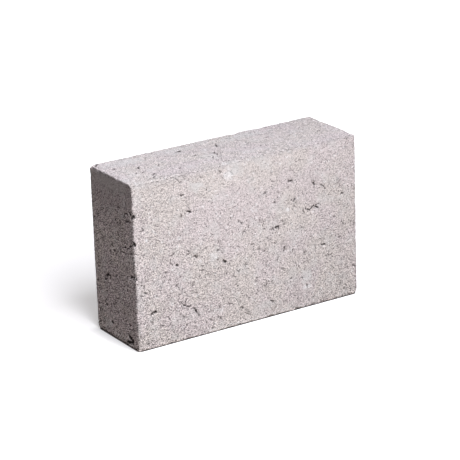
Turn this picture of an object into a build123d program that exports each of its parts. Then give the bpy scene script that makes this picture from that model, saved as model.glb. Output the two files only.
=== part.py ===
"""A ballast block: one solid block of dense cast concrete that stands on its long narrow face.

X runs along the length, Y through the thickness and Z up, with the origin at the centre of the base.
The large face towards -Y is the front and the end towards -X is the left end. Sizes are in millimetres.
"""

import os
from math import cos, radians, sin, sqrt

from build123d import *

# Overall size
length = 290
thickness = 90
height = 190

# Rounding that the mould leaves on every arris
upright_arris_radius = 1.9
base_arris_radius = 1.8
top_arris_radius = 1.2

# Wear on the top front arris: how far it reaches over the top and down the front at each station
wear_at_left_end = 7.0
wear_near_left_end = 5.5
wear_near_right_end = 3.2
wear_at_right_end = 1.9
wear_station_from_left = 70
wear_station_from_right = 90
wear_flatness = 0.33

# Corners that have crumbled away: reach along X, Y and Z, and the radius of the crown that is left
back_left_top_loss = (7.0, 9.0, 4.2)
back_left_base_loss = (5.5, 6.0, 10.0)
front_right_base_loss = (6.5, 5.0, 9.5)
front_left_top_loss = (4.0, 6.0, 5.0)
corner_crown_radius = 22.0

# Spalls along the upright arris between the front and the left end: height above the base and bite
spall_scoop_radius = 9.0
front_left_spalls = [(44, 1.3), (86, 1.9), (122, 2.3), (155, 1.7)]

# Spalls along the base of the front: distance from the left end and bite
front_base_spalls = [(62, 1.5), (118, 1.1), (171, 1.8), (226, 1.4)]

# Spalls along the top arris of the left end: distance from the front and bite
left_top_spalls = [(30, 1.3), (57, 1.0)]

# Open voids in the front: distance from the left or right end, height above the base, width and depth
front_voids_from_left = [
    (61, 40, 3.4, 1.6),
    (74, 31, 3.8, 1.7),
    (52, 89, 3.0, 1.4),
    (70, 146, 3.2, 1.5),
    (77, 93, 2.8, 1.3),
    (113, 79, 3.6, 1.7),
]
front_voids_from_right = [(97, 75, 3.2, 1.5), (89, 153, 3.2, 1.5), (45, 69, 2.8, 1.3)]

# Open voids in the top: distance from the left or right end, distance from the front, width and depth
top_voids_from_left = [(41, 19, 3.2, 1.3), (122, 9, 3.6, 1.4)]
top_voids_from_right = [(38, 58, 4.0, 1.5), (81, 54, 3.0, 1.2)]

# Streaks in the front: distance from the left or right end, height above the base, length, width,
# depth and turn from level in degrees
front_streaks_from_left = [(21, 41, 8.4, 2.8, 1.2, 25)]
front_streaks_from_right = [
    (55, 116, 15.0, 2.6, 1.1, 38),
    (110, 103, 11.0, 2.4, 1.0, 22),
    (53, 128, 9.0, 2.2, 0.9, -30),
]

# The crack that half rings a stone near the foot of the left end: where the stone is, the radius of
# the ring along the middle of the crack, how far it runs round in degrees, its width and its depth
foot_stone_from_front = 18
foot_stone_height = 8
foot_crack_radius = 4.4
foot_crack_sweep = 170
foot_crack_width = 2.2
foot_crack_depth = 3.0

# How far each cutting shape stands clear of the face that it cuts
overcut = 3.0

front_y = -thickness / 2
back_y = thickness / 2
left_x = -length / 2
right_x = length / 2

# Working planes: local x runs along the face and local z points out of it
front_plane = Plane(origin=(0, front_y, 0), x_dir=(1, 0, 0), z_dir=(0, -1, 0))
top_plane = Plane(origin=(0, front_y, height), x_dir=(1, 0, 0), z_dir=(0, 0, 1))
left_plane = Plane(origin=(left_x, front_y, 0), x_dir=(0, -1, 0), z_dir=(-1, 0, 0))


def make_arris_waste(stations):
    """Returns what is worn off the top front arris, lofted through (x, reach) stations."""
    with BuildPart() as waste:
        for x, reach in stations:
            station_plane = Plane(origin=(x, front_y, height), x_dir=(0, 1, 0), z_dir=(1, 0, 0))
            sagitta = wear_flatness * reach
            with BuildSketch(station_plane):
                with BuildLine():
                    ThreePointArc((0, -reach), (sagitta, -sagitta), (reach, 0))
                    Line((reach, 0), (reach, overcut))
                    Line((reach, overcut), (-overcut, overcut))
                    Line((-overcut, overcut), (-overcut, -reach))
                    Line((-overcut, -reach), (0, -reach))
                make_face()
        loft(ruled=True)
    return waste.part


def make_corner_waste(corner, reach, crown_radius):
    """Returns what has crumbled off a corner: its tip, less a ball that passes through the three reaches."""
    tip = Vector(*corner)
    inward = [-1 if coordinate > 0 else 1 for coordinate in (tip.X, tip.Y, tip.Z)]
    along_x = tip + Vector(inward[0] * reach[0], 0, 0)
    along_y = tip + Vector(0, inward[1] * reach[1], 0)
    along_z = tip + Vector(0, 0, inward[2] * reach[2])
    side_a = along_y - along_x
    side_b = along_z - along_x
    normal = side_a.cross(side_b)
    to_circle_centre = (
        normal.cross(side_a) * side_b.length**2 + side_b.cross(normal) * side_a.length**2
    ) * (0.5 / normal.length**2)
    depth = sqrt(crown_radius**2 - to_circle_centre.length**2)
    facing = normal.normalized()
    if facing.dot(along_x - tip) < 0:
        facing = facing * -1
    ball_centre = along_x + to_circle_centre + facing * depth
    middle = tip + Vector(*[way * (size - overcut) / 2 for way, size in zip(inward, reach)])
    with BuildPart() as waste:
        with Locations(middle):
            Box(*[size + overcut for size in reach])
        with Locations(ball_centre):
            Sphere(crown_radius, mode=Mode.SUBTRACT)
    return waste.part


def cut_scoop(plane, across, up, scoop_radius, depth):
    """Scoops a ball out of the face of a plane to a depth, with the ball's seam turned to the open side."""
    with Locations(plane):
        with Locations((across, up, scoop_radius - depth)):
            Sphere(scoop_radius, rotation=(0, -90, 0), mode=Mode.SUBTRACT)


def cut_void(plane, across, up, width, depth):
    """Opens a round void of a rim width and a depth in the face of a plane."""
    cut_scoop(plane, across, up, (width**2 / 4 + depth**2) / (2 * depth), depth)


def cut_spall(place, outward, bite):
    """Scoops a shell-shaped spall out of an arris, to a depth of bite along the outward direction."""
    cut_scoop(Plane(origin=place, z_dir=outward), 0, 0, spall_scoop_radius, bite)


def make_streak(plane, across, up, streak_length, width, depth, turn):
    """Returns the spindle that cuts a long streak, with its axis lifted off the face."""
    lift = width / 2 - depth
    axis_way = Vector(cos(radians(turn)), sin(radians(turn)), 0)
    middle = Vector(across, up, lift)
    start = plane.from_local_coords(middle - axis_way * (streak_length / 2))
    end = plane.from_local_coords(middle + axis_way * (streak_length / 2))
    belly = plane.from_local_coords(middle - Vector(0, 0, width / 2))
    with BuildPart() as streak:
        with BuildSketch(Plane(origin=start, x_dir=end - start, z_dir=(end - start).cross(belly - start))):
            with BuildLine():
                ThreePointArc((0, 0), (streak_length / 2, width / 2), (streak_length, 0))
                Line((streak_length, 0), (0, 0))
            make_face()
        revolve(axis=Axis(start, end - start))
    return streak.part


def make_crack(plane, across, up, radius, sweep, width, depth):
    """Returns the curved slot of a crack, centred on the local x side of the stone that it half rings."""
    stone = plane.from_local_coords((across, up, 0))
    half_sweep = radians(sweep / 2)
    start_way = plane.x_dir * cos(half_sweep) - plane.y_dir * sin(half_sweep)
    with BuildPart() as crack:
        with BuildSketch(Plane(origin=stone, x_dir=start_way, z_dir=start_way.cross(plane.z_dir))):
            with Locations((radius, 0)):
                SlotOverall(2 * depth, width, rotation=90)
        revolve(axis=Axis(stone, plane.z_dir), revolution_arc=sweep)
    return crack.part


arris_waste = make_arris_waste(
    [
        (left_x - overcut, wear_at_left_end),
        (left_x + wear_station_from_left, wear_near_left_end),
        (right_x - wear_station_from_right, wear_near_right_end),
        (right_x + overcut, wear_at_right_end),
    ]
)

corner_wastes = [
    make_corner_waste((left_x, back_y, height), back_left_top_loss, corner_crown_radius),
    make_corner_waste((left_x, back_y, 0), back_left_base_loss, corner_crown_radius),
    make_corner_waste((right_x, front_y, 0), front_right_base_loss, corner_crown_radius),
    make_corner_waste((left_x, front_y, height), front_left_top_loss, corner_crown_radius),
]

streaks = [
    make_streak(front_plane, left_x + from_left, *rest) for from_left, *rest in front_streaks_from_left
]
streaks += [
    make_streak(front_plane, right_x - from_right, *rest) for from_right, *rest in front_streaks_from_right
]

foot_crack = make_crack(
    left_plane,
    -foot_stone_from_front,
    foot_stone_height,
    foot_crack_radius,
    foot_crack_sweep,
    foot_crack_width,
    foot_crack_depth,
)

with BuildPart() as ballast_block:
    # The cast body
    with BuildSketch(Plane.XY):
        Rectangle(length, thickness)
    extrude(amount=height)

    # Moulded arrises
    fillet(ballast_block.edges().filter_by(Axis.Z), radius=upright_arris_radius)
    fillet(ballast_block.edges().group_by(Axis.Z)[0], radius=base_arris_radius)
    fillet(ballast_block.edges().group_by(Axis.Z)[-1], radius=top_arris_radius)

    # Handling wear and crumbled corners
    add(arris_waste, mode=Mode.SUBTRACT)
    add(corner_wastes, mode=Mode.SUBTRACT)

    # Spalls
    for above_base, bite in front_left_spalls:
        cut_spall((left_x, front_y, above_base), (-1, -1, 0), bite)
    for from_left, bite in front_base_spalls:
        cut_spall((left_x + from_left, front_y, 0), (0, -1, -1), bite)
    for from_front, bite in left_top_spalls:
        cut_spall((left_x, front_y + from_front, height), (-1, 0, 1), bite)

    # Open voids, streaks and the foot crack
    for from_left, above_base, width, depth in front_voids_from_left:
        cut_void(front_plane, left_x + from_left, above_base, width, depth)
    for from_right, above_base, width, depth in front_voids_from_right:
        cut_void(front_plane, right_x - from_right, above_base, width, depth)
    for from_left, from_front, width, depth in top_voids_from_left:
        cut_void(top_plane, left_x + from_left, from_front, width, depth)
    for from_right, from_front, width, depth in top_voids_from_right:
        cut_void(top_plane, right_x - from_right, from_front, width, depth)
    add(streaks, mode=Mode.SUBTRACT)
    add(foot_crack, mode=Mode.SUBTRACT)

ballast_block.part.label = "ballast_block"
os.makedirs("parts", exist_ok=True)
export_step(ballast_block.part, "parts/ballast_block.step")
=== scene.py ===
"""Dresses the concrete ballast block and sets it on a plain studio floor.

The shell of the block is a fine grid that lies on the solid's own surface and is roughened inwards, so that
it never leaves the solid's box: waves and lumps in the pressed faces, marks painted dark with their shade,
chips and ragged arrises. Its finish is one procedural concrete, with light and shade painted into its colour
here and there. Lengths are in metres; MM and DEG turn other units into these.
"""

import logging
import math
import random
from dataclasses import dataclass, field
from enum import Enum

import bmesh
import bpy
from mathutils import Matrix, Vector, kdtree, noise
from mathutils.bvhtree import BVHTree


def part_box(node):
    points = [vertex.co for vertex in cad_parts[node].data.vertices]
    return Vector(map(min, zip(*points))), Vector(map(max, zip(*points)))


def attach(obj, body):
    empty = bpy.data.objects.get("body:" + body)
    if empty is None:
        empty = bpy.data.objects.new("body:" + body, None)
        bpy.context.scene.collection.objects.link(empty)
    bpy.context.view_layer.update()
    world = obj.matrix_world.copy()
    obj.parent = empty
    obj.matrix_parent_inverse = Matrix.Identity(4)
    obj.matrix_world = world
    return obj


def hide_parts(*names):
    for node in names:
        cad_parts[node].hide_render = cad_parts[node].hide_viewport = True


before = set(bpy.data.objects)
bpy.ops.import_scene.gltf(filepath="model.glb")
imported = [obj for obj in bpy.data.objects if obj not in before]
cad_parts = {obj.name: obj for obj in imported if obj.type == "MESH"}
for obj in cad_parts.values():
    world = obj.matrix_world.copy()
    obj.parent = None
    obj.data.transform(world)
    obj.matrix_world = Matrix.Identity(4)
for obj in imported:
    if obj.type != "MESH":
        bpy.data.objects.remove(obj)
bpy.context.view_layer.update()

MM = 0.001
DEG = math.pi / 180
NOISE_GAP = 17.3
NODE = "ballast_block"

log = logging.getLogger("ballast_block")


def smooth_step(value: float) -> float:
    """Eases a value from 0 to 1.

    Args:
        value: any number; below 0 counts as 0 and above 1 as 1.

    Returns:
        The eased value, level at both ends.
    """
    value = min(1.0, max(0.0, value))
    return value * value * (3.0 - 2.0 * value)


def nearness(distance: float, reach: float) -> float:
    """Returns 1 within half the reach and 0 beyond one and a half, eased between."""
    return smooth_step(1.5 - distance / reach)


def mixed(first: float, second: float, share: float) -> float:
    """Returns a number a share of the way from the first to the second."""
    return first + (second - first) * share


class Side(Enum):
    """A face of the block, as the axis that it looks along and which way."""

    FRONT = (1, -1)
    BACK = (1, 1)
    LEFT = (0, -1)
    RIGHT = (0, 1)
    TOP = (2, 1)
    BASE = (2, -1)

    @property
    def axis(self) -> int:
        """The axis that this side looks along."""
        return self.value[0]

    @property
    def way(self) -> int:
        """1 where the side looks along its axis and -1 where it looks back."""
        return self.value[1]

    @property
    def outward(self) -> Vector:
        """The unit vector that points out of this side."""
        vector = Vector((0.0, 0.0, 0.0))
        vector[self.axis] = float(self.way)
        return vector

    @property
    def in_plane(self) -> list[int]:
        """The two axes that lie in this side, in X, Y, Z order."""
        return [axis for axis in range(3) if axis != self.axis]


@dataclass
class Box:
    """The box of the solid, with what is worked out from it."""

    low: Vector
    high: Vector

    def on(self, side: Side, across: float, up: float) -> Vector:
        """Finds a point on a side.

        Args:
            side: the side that the point lies on.
            across: the first coordinate in that side.
            up: the second coordinate in that side.

        Returns:
            The point, in the frame of the solid.
        """
        point = Vector((0.0, 0.0, 0.0))
        point[side.axis] = self.high[side.axis] if side.way > 0 else self.low[side.axis]
        point[side.in_plane[0]] = across
        point[side.in_plane[1]] = up
        return point

    def arris_distance(self, point: Vector) -> float:
        """Returns how far a point of the box's surface lies from the nearest arris."""
        gaps = sorted(min(point[i] - self.low[i], self.high[i] - point[i]) for i in range(3))
        return gaps[1]

    def area(self, side: Side) -> float:
        """Returns the area of a side."""
        first, second = side.in_plane
        return (self.high[first] - self.low[first]) * (self.high[second] - self.low[second])


def steady_noise_vector(point: Vector) -> Vector:
    """Returns three noises at a point, the same in each run, which noise.noise_vector isn't."""
    return Vector([noise.noise(point + Vector((0.0, NOISE_GAP * axis, 0.0))) for axis in range(3)])


@dataclass(frozen=True)
class Mark:
    """A mark in the skin, the open edge of a stone or a small hole, pressed in and painted dark with the
    shade in it; in millimetres on its side.
    """

    side: Side
    dark: float
    half_width: float
    course: tuple[tuple[float, float], ...]


@dataclass(frozen=True)
class Bead:
    """One short piece of a mark."""

    centre: Vector
    half_width: float
    dark: float


# The marks that the photo shows: how dark their painted shade is, how wide, and points along the course in
# millimetres on the side, as (x, z) in the front, (y, z) in the left end and (x, y) in the top
FRONT_MARKS = (
    (0.5, 0.55, (-89, 187), (-87, 184), (-85, 181.5), (-83.5, 182)),
    (0.45, 0.6, (-59.5, 182), (-57, 181)),
    (0.7, 0.6, (-86, 167.5), (-83.5, 166.5), (-81, 166.5)),
    (0.75, 0.9, (-76.5, 147), (-74.5, 146), (-73.5, 145.3)),
    (0.7, 0.7, (-85.3, 145), (-84.6, 142.3)),
    (0.35, 0.5, (-78.5, 158), (-76, 154.5), (-75.6, 151)),
    (0.4, 0.5, (-96, 116), (-93, 114.5), (-88, 113.3), (-85, 114.5)),
    (0.7, 0.7, (-99, 101), (-97, 102), (-95, 103.6)),
    (0.6, 0.6, (-81, 97), (-78, 98.5), (-76.7, 102)),
    (0.7, 0.7, (-72, 94.5), (-69.3, 94.3), (-68, 92), (-65.5, 94)),
    (0.5, 0.6, (-101.5, 94), (-99.3, 91.5), (-98, 89.5)),
    (0.85, 0.8, (-93.5, 89.6), (-90.8, 88)),
    (0.6, 0.7, (-108, 84.3), (-106.2, 83.4)),
    (0.6, 0.6, (-62.5, 81), (-60.5, 80)),
    (0.6, 0.6, (-64, 76.7), (-60, 75)),
    (0.7, 0.6, (-137.5, 76), (-134, 74.2)),
    (0.85, 0.7, (-135.5, 66.8), (-132.5, 65.4), (-130.8, 66.2)),
    (0.65, 0.6, (-139, 64.3), (-136.2, 62.5)),
    (0.5, 0.6, (-92, 68.6), (-91.6, 65)),
    (0.65, 0.6, (-75, 60.3), (-73.2, 62.4)),
    (0.5, 0.6, (-93.5, 53.5), (-91.5, 51.5), (-93, 48)),
    (1.0, 0.85, (-128, 39.6), (-126, 41.2), (-124.6, 39.8), (-122.8, 42.2), (-120.2, 41.2)),
    (0.9, 0.65, (-86.5, 41.2), (-84, 39.5), (-81, 38.2), (-77.5, 38)),
    (0.8, 0.65, (-82.6, 47), (-84, 44.5), (-85.4, 41.4)),
    (0.8, 0.65, (-76, 35), (-72.6, 34), (-71, 31), (-70, 28.6), (-67.4, 25.4)),
    (0.65, 0.7, (-68.3, 24.8), (-67.4, 24)),
    (0.6, 0.6, (-107, 33.3), (-105, 30)),
    (0.5, 0.6, (-73.5, 54), (-70.4, 52.2), (-67.5, 50.3)),
    (0.6, 0.7, (-84, 18.3), (-83.4, 16)),
    (0.65, 0.6, (-53, 16.5), (-51, 14.5)),
    (0.4, 0.45, (-117.5, 70), (-112.5, 68.3)),
    (0.5, 0.6, (-118, 140), (-115.6, 139)),
    (0.65, 0.65, (-35.2, 184.3), (-33.4, 182.3), (-31.4, 182.3)),
    (0.55, 0.7, (-36.3, 91), (-34, 90)),
    (0.95, 0.8, (-34.3, 81), (-32, 79), (-29.8, 78.6)),
    (0.7, 0.6, (-17.3, 66), (-15.6, 64), (-12.8, 64)),
    (0.5, 0.6, (-22.5, 60.4), (-18.5, 58)),
    (0.5, 0.6, (-7.5, 70), (-2.5, 69)),
    (0.6, 0.65, (20, 146), (22.8, 147), (24.5, 145.5)),
    (0.7, 0.8, (34.6, 134), (36.2, 132.4)),
    (0.65, 0.75, (30, 102), (32.3, 104.2), (33.2, 101.5)),
    (0.85, 0.85, (36, 103.6), (38.8, 104.2), (40.3, 101.4)),
    (0.4, 0.45, (13.5, 115.5), (20, 115), (28, 113.3)),
    (0.5, 0.6, (23, 95), (25.3, 93.3)),
    (0.5, 0.6, (11, 84), (14.5, 83)),
    (0.95, 0.95, (47, 77.3), (46, 74)),
    (0.5, 0.6, (22, 63), (25, 62)),
    (0.55, 0.6, (41.3, 54.5), (45.5, 52)),
    (0.65, 0.6, (17, 38.6), (20, 38), (21.6, 40), (23, 42.8)),
    (0.4, 0.5, (-35.5, 51.5), (-33.3, 50), (-31, 46), (-26, 43)),
    (0.6, 0.6, (-28.5, 28.6), (-24, 28.2)),
    (0.7, 0.75, (-12.3, 21), (-10, 19)),
    (0.65, 0.8, (28, 19.2), (29.5, 17.3)),
    (0.65, 0.75, (31, 15), (33.2, 14.4)),
    (0.65, 0.6, (-43.2, 17), (-41.3, 15), (-39, 14)),
    (0.6, 0.6, (-6, 11.3), (-1.5, 10)),
    (0.8, 0.8, (53.8, 155), (55, 153.4), (58, 153.6)),
    (0.4, 0.5, (56, 166.3), (60, 165), (64, 161)),
    (0.8, 0.75, (87.5, 145), (89, 142.4), (91, 142.3)),
    (0.65, 0.7, (97, 141), (100, 139.3), (102, 136.7), (103.3, 134.5)),
    (0.85, 0.75, (56.6, 131.6), (60, 130), (62, 131.2)),
    (0.5, 0.6, (61, 123.3), (63.3, 121.4)),
    (0.85, 0.85, (125, 125.4), (127, 124.2)),
    (0.85, 0.75, (76, 117), (80, 115), (82, 114.6), (85, 117), (87, 118.2), (90, 116.5), (93, 115)),
    (0.6, 0.5, (89.6, 119), (94, 119), (96.4, 118.4)),
    (0.85, 0.8, (73, 116), (73.6, 112.6)),
    (0.6, 0.7, (70.3, 96), (72.3, 95.2)),
    (0.65, 0.65, (125.6, 89.4), (128, 88)),
    (0.85, 0.75, (96.5, 70), (99, 69.3), (101.3, 69.7)),
    (0.6, 0.6, (120.6, 74), (123.4, 72.8)),
    (0.6, 0.65, (72, 66), (76, 65.8)),
    (0.7, 0.6, (103.5, 57), (106, 55.4), (110.5, 55.4)),
    (0.65, 0.65, (128, 15.2), (130, 12.8)),
    (0.5, 0.6, (105, 168), (107, 166.4)),
    (0.7, 0.6, (75.6, 26.5), (76, 24)),
    # Black chips at the front's left arris, painted with the shade in their undercuts.
    (1.0, 1.2, (-145, 155.3), (-142.4, 155)),
    (1.0, 1.3, (-145, 123.6), (-143.9, 122.6)),
    (1.0, 0.9, (-145, 85), (-144, 84.3)),
    # Along the foot: the dark line where the block meets the floor, painted contact shadow.
    (0.45, 0.45, (-131, 1.2), (-128, 1)),
    (0.35, 0.4, (-117, 1.5), (-112, 1.2)),
    (0.5, 0.45, (-104, 1.4), (-98, 1.1)),
    (0.4, 0.4, (-88, 1.3), (-74, 1)),
    (0.45, 0.45, (-68, 1.8), (-50, 1.3)),
    (0.3, 0.4, (-42, 1.5), (-28, 1.1)),
    (0.65, 0.5, (-19, 1.8), (-14, 1.4)),
    (0.6, 0.6, (-5, 1.4), (1, 1)),
    (0.6, 0.45, (22, 1.5), (30, 1.2)),
    (0.75, 0.5, (60, 1.6), (66, 1.2)),
    (0.75, 0.5, (72.5, 1.8), (78, 1.4)),
    (0.65, 0.45, (82, 1.5), (90, 1.5)),
    (0.75, 0.5, (93, 1.7), (103, 1.4)),
    (0.9, 0.55, (113, 1.5), (125, 1.4)),
    (0.9, 0.55, (128, 2), (138, 1.6)),
)
LEFT_MARKS = (
    (0.95, 1.3, (-1, 105), (-0.2, 104.6)),
    (0.45, 0.8, (9, 100), (2, 98.5)),
    (0.85, 0.8, (19, 69), (17, 72), (13, 73), (11, 71.5), (10.5, 69.3)),
    (0.6, 0.9, (22, 66.5), (20.5, 65)),
    (0.8, 0.8, (41, 58), (38, 58.5)),
    (0.6, 0.9, (38, 76), (35, 75.5)),
    (0.8, 1.0, (-24.6, 65.8), (-25.6, 65.2)),
    (0.7, 0.8, (23.5, 35.3), (20, 35.3)),
    (0.6, 1.5, (37.5, 25), (36, 24.5)),
    (0.7, 1.4, (11.5, 19.5), (10.5, 18)),
    (0.75, 0.9, (-27, 26.5), (-29.5, 27)),
    (1.0, 1.3, (-24, 12.4), (-27, 11.8), (-30, 10), (-33.3, 8.8)),
    (1.0, 1.25, (-19, 4.4), (-24, 5.3), (-28, 6), (-33, 6.6)),
    (0.95, 0.9, (-34, 83), (-37, 85), (-40, 85.3), (-42.5, 83.6)),
    (0.85, 0.8, (-35, 118.6), (-40, 121), (-43, 123)),
    (0.6, 0.8, (-37, 112.3), (-40, 111.8)),
    (0.85, 0.7, (-27, 153.6), (-33, 156)),
    (0.8, 0.8, (-38, 157.8), (-42, 156.8)),
    (1.0, 0.95, (-41, 152), (-45, 155)),
    (0.6, 0.7, (-33, 147), (-38, 146.5)),
    (0.5, 0.9, (-14, 158.5), (-18, 157.5)),
    (0.5, 1.0, (-8.5, 145), (-9.5, 143.5)),
    (0.6, 0.9, (33, 139), (32, 138)),
    (0.5, 0.8, (-14, 107), (-20, 109)),
    (0.5, 0.8, (-23, 109), (-25, 106.5)),
    (0.4, 1.0, (-30, 168), (-30.5, 165.5)),
    (0.5, 0.9, (28, 103), (27.5, 101)),
    (0.5, 0.8, (12, 62.8), (8.5, 62.5)),
    (0.5, 0.8, (-15, 58.5), (-16.5, 57.5)),
    (0.5, 0.9, (-4, 10), (-5, 8)),
    (0.5, 0.8, (40, 11), (36, 10.5)),
    (0.5, 0.8, (-4, 33), (-5.5, 30.5)),
    # Along the foot: the dark line where the left end meets the floor, painted contact shadow.
    (1.0, 0.85, (39, 0.9), (16, 1.0)),
    (0.9, 0.6, (16, 1.0), (-10, 0.9)),
    (1.0, 0.75, (-10, 1.2), (-24, 1.5)),
    (0.9, 0.5, (-24, 0.9), (-42, 0.6)),
)
TOP_MARKS = (
    (0.8, 1.1, (-135.8, 44.6), (-138, 41), (-140, 38), (-142, 35.5)),
    (0.72, 2.2, (-43, 25.5), (-40, 27.5)),
    (0.87, 0.88, (4, 23), (2, 20), (0, 14)),
    (0.72, 0.99, (-13, -1), (-15, -4)),
    (0.72, 1.1, (-13, -7), (-15, -9.5)),
    (0.72, 1.1, (-22, -13), (-25, -16)),
    (0.72, 1.32, (-105, 7), (-108, 3)),
    (0.72, 0.99, (-110, -10), (-112, -14)),
    (0.72, 0.99, (-117, -8), (-119, -12)),
    (0.82, 0.99, (-108, -31), (-112, -35)),
    (0.72, 0.99, (-103, -23), (-108, -28)),
    (0.85, 0.8, (106, 13), (109, 10), (111, 8)),
    (0.72, 0.99, (-22, -32), (-17, -36)),
    (0.62, 0.99, (41, -11), (39, -13)),
    (0.62, 1.1, (61, 9), (64, 10)),
    (0.62, 1.1, (-20, -20), (-18, -24)),
    (0.62, 0.99, (-83, 1), (-86, -3)),
    (0.55, 0.8, (-64, 22), (-62, 18)),
    (0.6, 0.8, (-71, -24), (-74, -27)),
    (0.55, 0.9, (-34, 4), (-37, 2)),
    (0.6, 0.8, (24, 33), (28, 31)),
    (0.55, 0.8, (33, 6), (36, 3)),
    (0.6, 0.9, (52, -20), (55, -24)),
    (0.55, 0.8, (78, 27), (82, 26)),
    (0.6, 0.8, (88, -14), (91, -17)),
    (0.55, 0.8, (124, -6), (121, -9)),
    (0.6, 0.8, (-128, 18), (-130, 15)),
)
SHOWN_MARKS = ((Side.FRONT, FRONT_MARKS), (Side.LEFT, LEFT_MARKS), (Side.TOP, TOP_MARKS))


@dataclass
class MarkField:
    """All marks of the block, pressed in and painted dark with their shade: those that the photo shows, and a
    scatter over every side.
    """

    box: Box
    seed: int = 29190
    per_area: float = 3600.0
    drift_size: float = 34 * MM
    drift_gain: float = 1.3
    least_share: float = 0.08
    mean_turn: float = -15.0
    turn_spread: float = 35.0
    runs: tuple[float, ...] = (0.4, 0.4, 0.8, 2.0, 3.0, 4.5)
    run_span: tuple[float, float] = (0.7, 1.3)
    dark_span: tuple[float, float] = (0.25, 0.7)
    width_span: tuple[float, float] = (0.45, 0.65)
    rare_width: float = 0.3
    rarity: int = 5
    most_bend: float = 0.3
    spacing: float = 0.35 * MM
    wobble: float = 0.85 * MM
    wobble_size: float = 0.9 * MM
    swell: float = 1.5
    least_swell: float = 0.2
    swell_size: float = 1.0 * MM
    least_width: float = 0.62
    dark_width: float = 0.14
    end_width: float = 1.25
    end_dark: float = 1.15
    strength: float = 1.3

    def scattered(self, draw: random.Random) -> list[Mark]:
        """Places the scattered marks, thicker where a slow drift of the mix is high.

        Args:
            draw: the seeded source of random numbers.

        Returns:
            Short lines and small holes on all six sides.
        """
        marks = []
        for side in Side:
            first, second = side.in_plane
            for _ in range(round(self.per_area * self.box.area(side))):
                across = draw.uniform(self.box.low[first], self.box.high[first])
                up = draw.uniform(self.box.low[second], self.box.high[second])
                drift = 0.5 + noise.noise(self.box.on(side, across, up) / self.drift_size)
                keep = draw.random() < self.drift_gain * drift * drift + self.least_share
                turn = draw.gauss(self.mean_turn, self.turn_spread) * DEG
                run = draw.choice(self.runs) * draw.uniform(*self.run_span)
                dark = draw.uniform(*self.dark_span)
                half_width = draw.uniform(*self.width_span) + self.rare_width * draw.random() ** self.rarity
                bend = draw.uniform(-self.most_bend, self.most_bend) * run
                if keep:
                    step = Vector((math.cos(turn), math.sin(turn))) * run / 2
                    sag = Vector((-math.sin(turn), math.cos(turn))) * bend
                    middle = Vector((across, up)) / MM
                    course = (middle - step, middle + sag, middle + step)
                    marks.append(Mark(side, dark, half_width, tuple(tuple(point) for point in course)))
        return marks

    def marks(self) -> list[Mark]:
        """Gathers all marks.

        Returns:
            The marks that the photo shows, and then the scattered ones.
        """
        shown = [
            Mark(side, dark, half_width, tuple(course))
            for side, rows in SHOWN_MARKS
            for dark, half_width, *course in rows
        ]
        return shown + self.scattered(random.Random(self.seed))

    def beads(self) -> list[Bead]:
        """Strings every mark out as beads, a little off its course and uneven in width.

        Returns:
            The beads of all marks, on the box.
        """
        beads = []
        for mark in self.marks():
            width = self.least_width + self.dark_width * mark.dark**2
            dark = self.strength * mark.dark
            if mark.side is Side.LEFT:
                width *= self.end_width
                dark *= self.end_dark
            for start, end in zip(mark.course, mark.course[1:]):
                run = math.dist(start, end) * MM
                count = max(1, math.ceil(run / self.spacing))
                for index in range(count + 1):
                    share = index / count
                    across, up = (a + (b - a) * share for a, b in zip(start, end))
                    centre = self.box.on(mark.side, across * MM, up * MM)
                    shift = steady_noise_vector(centre / self.wobble_size) * self.wobble
                    shift[mark.side.axis] = 0.0
                    uneven = noise.noise(centre / self.swell_size + Vector((4.0, 4.0, 4.0)))
                    swell = max(self.least_swell, 1.0 + self.swell * uneven)
                    half_width = width * mark.half_width * swell * MM
                    beads.append(Bead(centre + shift, half_width, min(1.0, dark)))
        return beads


class Bloom(Enum):
    """What a patch of skin looks like, by the name of its layer."""

    LIME = "lime"
    SMOOTH = "smooth"


# Patches by kind and side: the middle and the half size in millimetres on the side, and the strength
PATCHES = {
    (Bloom.LIME, Side.FRONT): (
        (-23.5, 178, 4.2, 8.0, 0.5),
        (72.5, 24, 3.5, 2.5, 0.8),
        (79, 25, 2, 2, 0.5),
        (-39, 23, 2.6, 2.6, 0.6),
        (-89, 119, 1.8, 1.8, 1.0),
        (52, 121, 2.0, 2.0, 1.0),
        (-129, 125, 2.0, 1.8, 1.0),
        (-47, 88, 5, 4, 0.25),
        (124, 121, 2.0, 1.8, 0.8),
    ),
    (Bloom.LIME, Side.TOP): (
        (-25, -42, 4.5, 5, 0.35),
        (-122, -12, 7, 8, 0.2),
    ),
    (Bloom.LIME, Side.BACK): (
        (62, 130, 12, 16, 0.4),
        (-96, 52, 16, 9, 0.3),
    ),
    (Bloom.LIME, Side.RIGHT): ((14, 140, 9, 12, 0.3),),
    (Bloom.LIME, Side.BASE): ((40, 8, 20, 12, 0.3),),
    (Bloom.SMOOTH, Side.FRONT): (
        (-66, 173, 8, 6, 0.9),
        (-15, 181, 6, 6, 1.0),
        (76, 37, 7, 9, 1.0),
        (-46, 87, 7, 5, 0.7),
        (22, 15, 9, 4, 0.8),
        (-140, 60, 5, 18, 0.5),
        (-138, 172, 6, 8, 0.5),
        (10, 3, 70, 2.5, 0.6),
    ),
    (Bloom.SMOOTH, Side.LEFT): (
        (4, 180, 42, 9, 0.6),
        (20, 15, 10, 6, 0.9),
        (42, 95, 3, 40, 0.7),
    ),
    (Bloom.SMOOTH, Side.TOP): (
        (-112, 28, 24, 9, 0.8),
        (-45, 32, 26, 7, 0.7),
        (40, 30, 26, 8, 0.8),
    ),
    (Bloom.SMOOTH, Side.BACK): ((-20, 160, 30, 14, 0.8),),
    (Bloom.SMOOTH, Side.RIGHT): ((-10, 60, 18, 20, 0.7),),
}


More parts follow.
